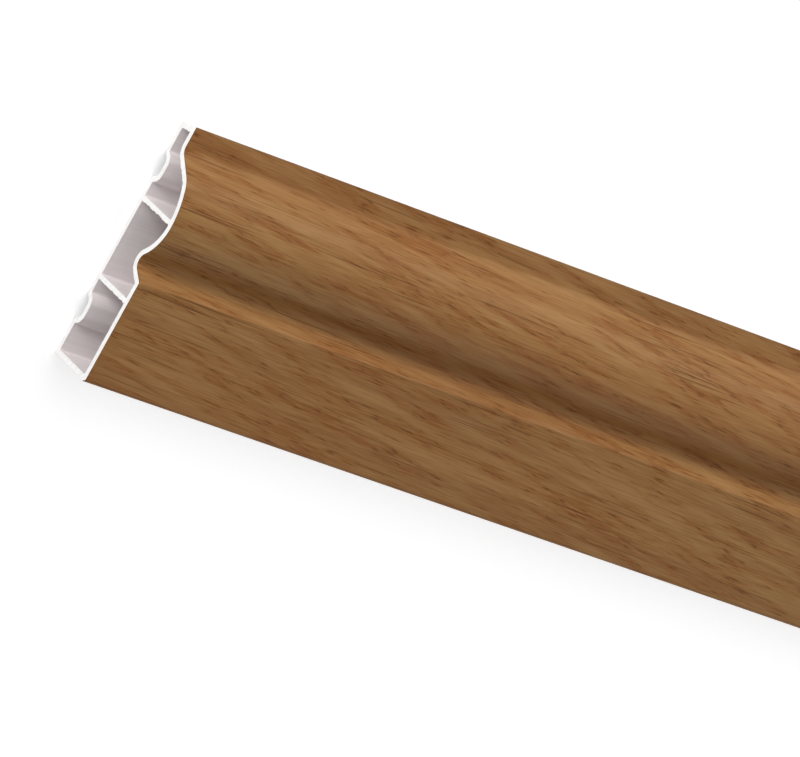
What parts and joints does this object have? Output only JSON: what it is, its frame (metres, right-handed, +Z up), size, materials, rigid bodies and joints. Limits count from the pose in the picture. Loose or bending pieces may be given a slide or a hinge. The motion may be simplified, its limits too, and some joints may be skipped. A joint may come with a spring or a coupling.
{
  "type": "ogee architrave moulding",
  "caption": "Straight length of ogee architrave: hollow white plastic extrusion with webs and back grooves, faced with an oak-grain foil.",
  "frame": {"origin": "middle of the underside, on the plane that the moulding rests on", "axes": "+X along the length, +Y from the thick edge across the face to the thin edge, +Z up, out of the face"},
  "size_m": [2.5, 0.06, 0.015],
  "materials": {
    "white_upvc": "white extruded uPVC, satin gloss, saw-cut ends",
    "oak_foil": "embossed oak woodgrain laminate foil, satin"
  },
  "bodies": {
    "root": {"upvc_profile": "white_upvc", "woodgrain_foil": "oak_foil"}
  },
  "joints": []
}
